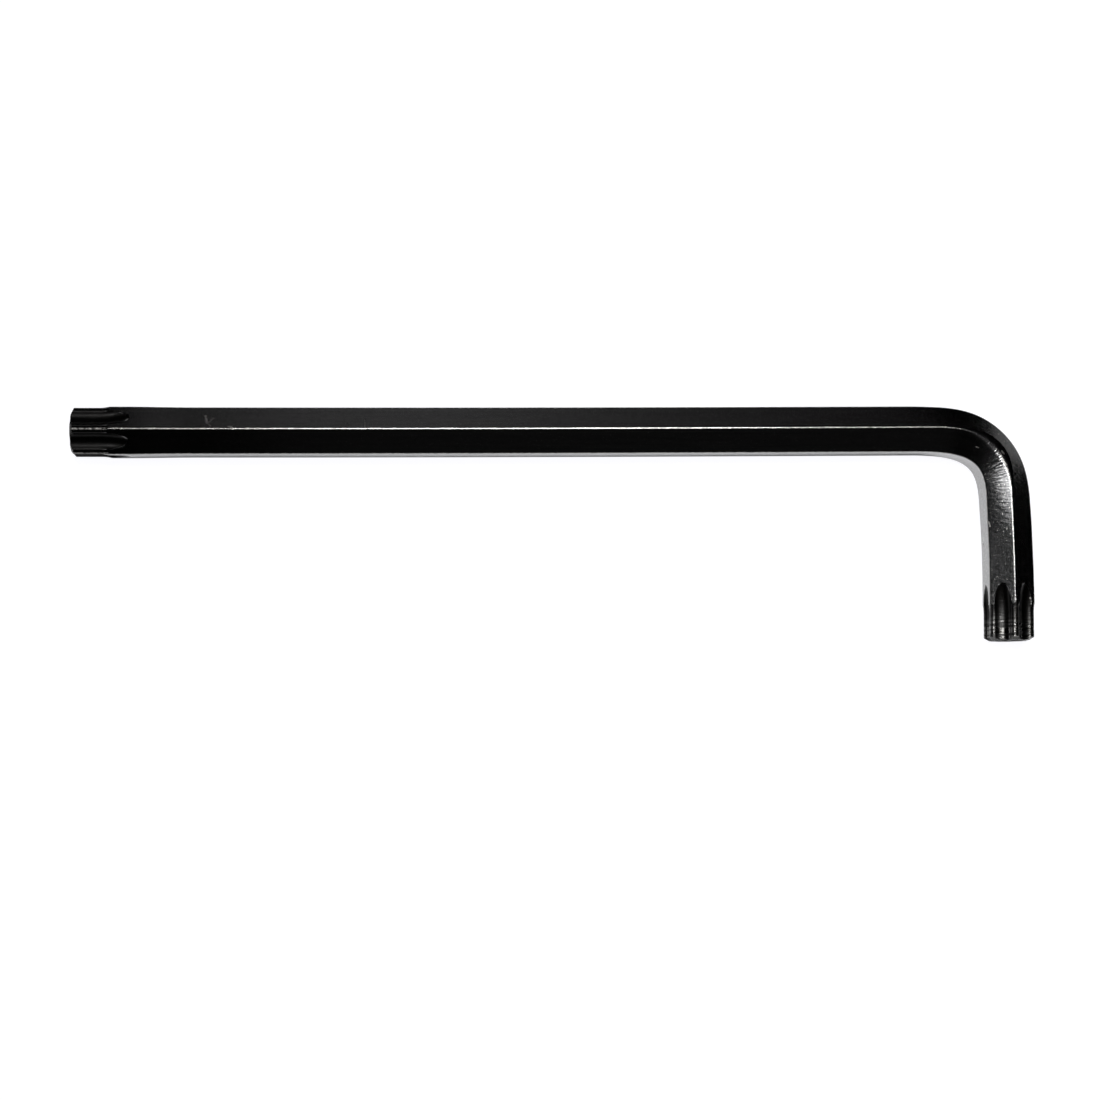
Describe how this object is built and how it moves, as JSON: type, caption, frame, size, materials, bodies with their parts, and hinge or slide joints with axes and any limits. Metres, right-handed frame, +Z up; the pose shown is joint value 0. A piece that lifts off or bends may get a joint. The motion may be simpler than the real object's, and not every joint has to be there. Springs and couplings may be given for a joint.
{
  "type": "star-drive key",
  "caption": "L-shaped key of black-finished hexagon steel bar, with a star-drive tip on the end of each arm.",
  "frame": {"origin": "below the middle of the key's box, on the surface that the key lies on", "axes": "+X along the long arm towards the bend, +Y away from the tip of the short arm, +Z up, square to the plane of the bend"},
  "size_m": [0.164, 0.0406, 0.0093],
  "materials": {
    "steel": "black oxide on drawn steel, oiled, faintly mottled"
  },
  "bodies": {
    "root": {"star_key": "steel"}
  },
  "joints": []
}
